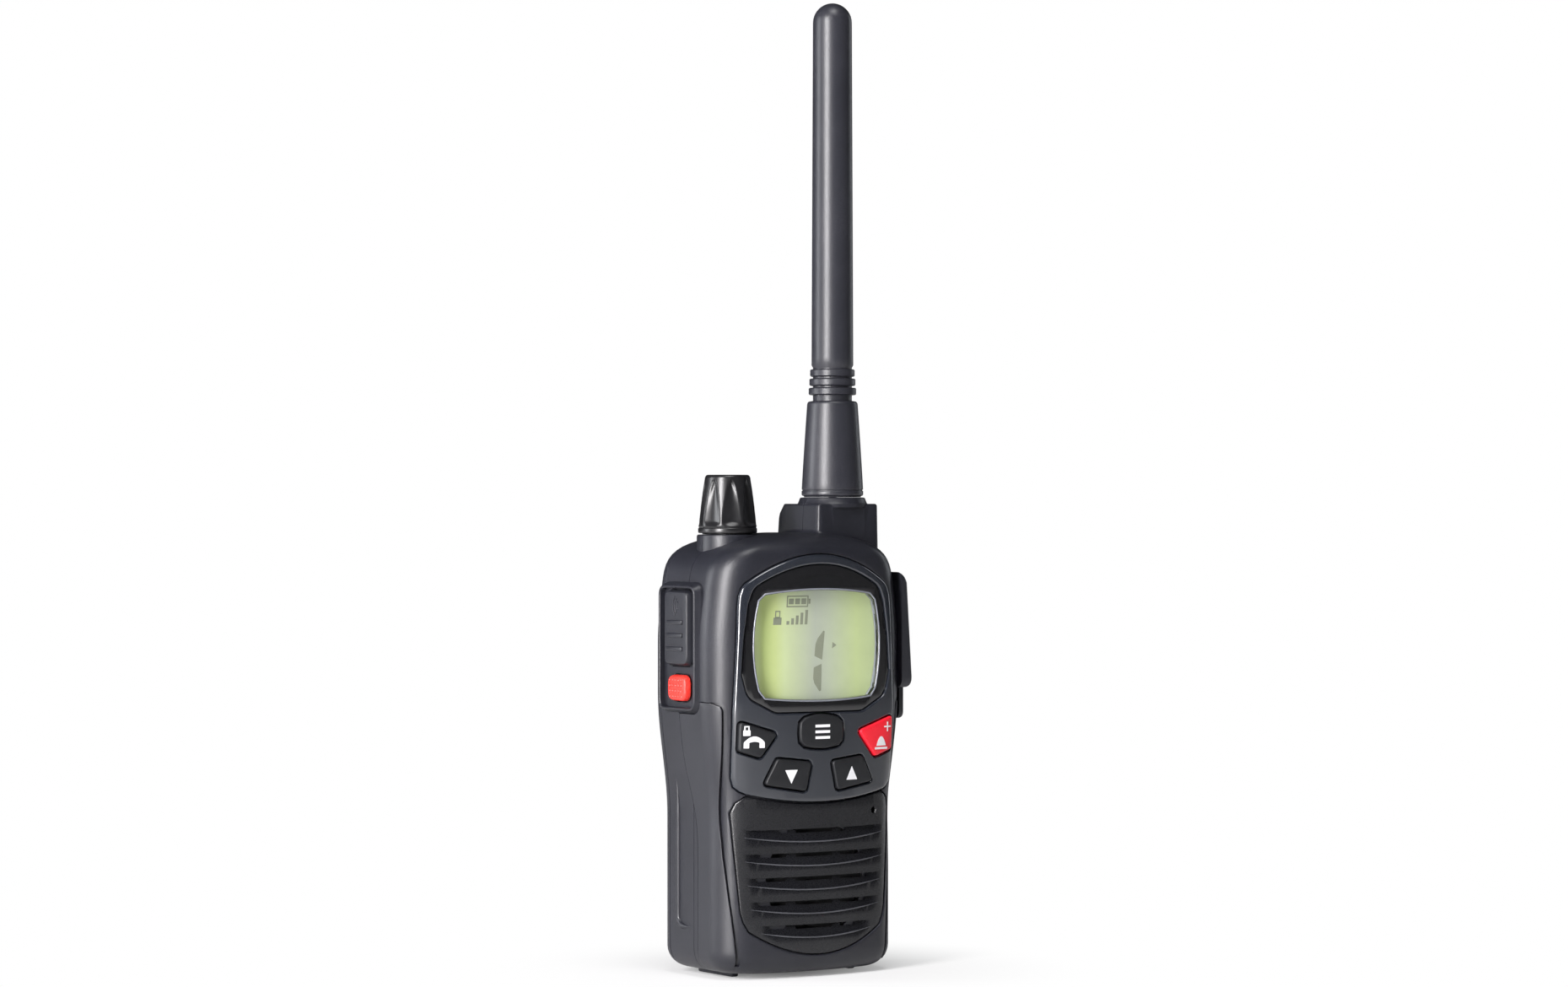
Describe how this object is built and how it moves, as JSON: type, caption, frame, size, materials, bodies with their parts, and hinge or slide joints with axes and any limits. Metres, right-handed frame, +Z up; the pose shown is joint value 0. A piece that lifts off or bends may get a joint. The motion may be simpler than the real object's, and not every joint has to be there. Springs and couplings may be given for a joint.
{
  "type": "two way radio",
  "caption": "Hand-held two way radio with display, front and side keys, volume knob, flexible antenna, speaker, battery door and sprung belt clip.",
  "frame": {"origin": "on the surface the feet stand on, under the middle of the overall width and of the overall depth, belt clip included", "axes": "+X to the right as someone facing the front sees it, -Y out of the front, +Z up along the antenna"},
  "size_m": [0.0686, 0.0455, 0.272],
  "materials": {
    "case_plastic": "fine moulded texture, charcoal with a faint lilac sheen",
    "grip_rubber": "soft-touch, satin",
    "panel_black": "fine matt texture",
    "bezel_smoke": "polished, smoky blue-grey",
    "lens_black": "polished clear window with black surround",
    "display_green": "liquid crystal panel, yellow-green",
    "key_rubber": "matt black with white signs",
    "key_red": "matt red",
    "button_red": "satin orange-red",
    "knob_black": "glossy black",
    "antenna_rubber": "satin black",
    "board_green": "fibreglass board, solder mask",
    "steel": "plain",
    "brass": "plain",
    "cell_wrap": "printed-free shrink sleeve",
    "paper_cone": "black treated paper",
    "inner_plastic": "natural moulded grey"
  },
  "bodies": {
    "case": {"front_housing": "case_plastic", "rear_housing": "case_plastic", "side_key_frame": "case_plastic", "clip_bracket": "case_plastic", "left_grip": "grip_rubber", "right_grip": "grip_rubber", "keypad_mat": "grip_rubber", "left_foot": "grip_rubber", "right_foot": "grip_rubber", "speaker_panel": "panel_black", "keypad_bezel": "bezel_smoke", "display_lens": "lens_black", "lcd_panel": "display_green", "antenna_sheath": "antenna_rubber", "keypad_board": "board_green", "main_board": "board_green", "speaker_basket": "steel", "speaker_magnet": "steel", "microphone": "steel", "rf_shield": "steel", "ptt_switch": "steel", "side_key_switch": "steel", "audio_socket": "steel", "charge_socket": "steel", "antenna_element": "steel", "left_contact_1": "steel", "left_contact_2": "steel", "right_contact_1": "steel", "right_contact_2": "steel", "clip_pin": "steel", "clip_spring": "steel", "case_screw_1": "steel", "case_screw_2": "steel", "case_screw_3": "steel", "antenna_bush": "brass", "battery_cell_1": "cell_wrap", "battery_cell_2": "cell_wrap", "battery_cell_3": "cell_wrap", "battery_cell_4": "cell_wrap", "speaker_cone": "paper_cone", "backlight": "inner_plastic", "volume_control": "inner_plastic", "battery_tray": "inner_plastic"},
    "knob": {"volume_knob": "knob_black", "volume_shaft": "steel"},
    "ptt": {"ptt_button": "key_rubber"},
    "side_key": {"side_button": "button_red"},
    "call": {"call_key": "key_rubber"},
    "menu": {"menu_key": "key_rubber"},
    "emergency": {"emergency_key": "key_red"},
    "down": {"down_key": "key_rubber"},
    "up": {"up_key": "key_rubber"},
    "jack_flap": {"jack_cover": "grip_rubber"},
    "door": {"battery_door": "case_plastic"},
    "clip": {"belt_clip": "case_plastic"}
  },
  "joints": [
    {"name": "volume_turn", "type": "hinge", "parent": "case", "child": "knob", "pos_m": [-0.0174, -0.0014, 0.1226], "axis": [0, 0, -1], "range_deg": [0, 270]},
    {"name": "ptt_press", "type": "slide", "parent": "case", "child": "ptt", "axis": [1, 0, 0], "range_m": [0, 0.0012], "stiffness_N_per_m": 1500},
    {"name": "side_press", "type": "slide", "parent": "case", "child": "side_key", "axis": [1, 0, 0], "range_m": [0, 0.0008], "stiffness_N_per_m": 1500},
    {"name": "call_press", "type": "slide", "parent": "case", "child": "call", "axis": [0, 1, 0], "range_m": [0, 0.0008], "stiffness_N_per_m": 1500},
    {"name": "menu_press", "type": "slide", "parent": "case", "child": "menu", "axis": [0, 1, 0], "range_m": [0, 0.0008], "stiffness_N_per_m": 1500},
    {"name": "emergency_press", "type": "slide", "parent": "case", "child": "emergency", "axis": [0, 1, 0], "range_m": [0, 0.0008], "stiffness_N_per_m": 1500},
    {"name": "down_press", "type": "slide", "parent": "case", "child": "down", "axis": [0, 1, 0], "range_m": [0, 0.0008], "stiffness_N_per_m": 1500},
    {"name": "up_press", "type": "slide", "parent": "case", "child": "up", "axis": [0, 1, 0], "range_m": [0, 0.0008], "stiffness_N_per_m": 1500},
    {"name": "jack_flap_open", "type": "hinge", "parent": "case", "child": "jack_flap", "pos_m": [0.0316, -0.0081, 0.1115], "axis": [0, -1, 0], "range_deg": [0, 110]},
    {"name": "door_open", "type": "hinge", "parent": "case", "child": "door", "pos_m": [0, 0.0151, 0.0075], "axis": [-1, 0, 0], "range_deg": [0, 75]},
    {"name": "clip_squeeze", "type": "hinge", "parent": "case", "child": "clip", "pos_m": [0, 0.0195, 0.101], "axis": [1, 0, 0], "range_deg": [0, 18], "stiffness_Nm_per_rad": 0.25}
  ]
}
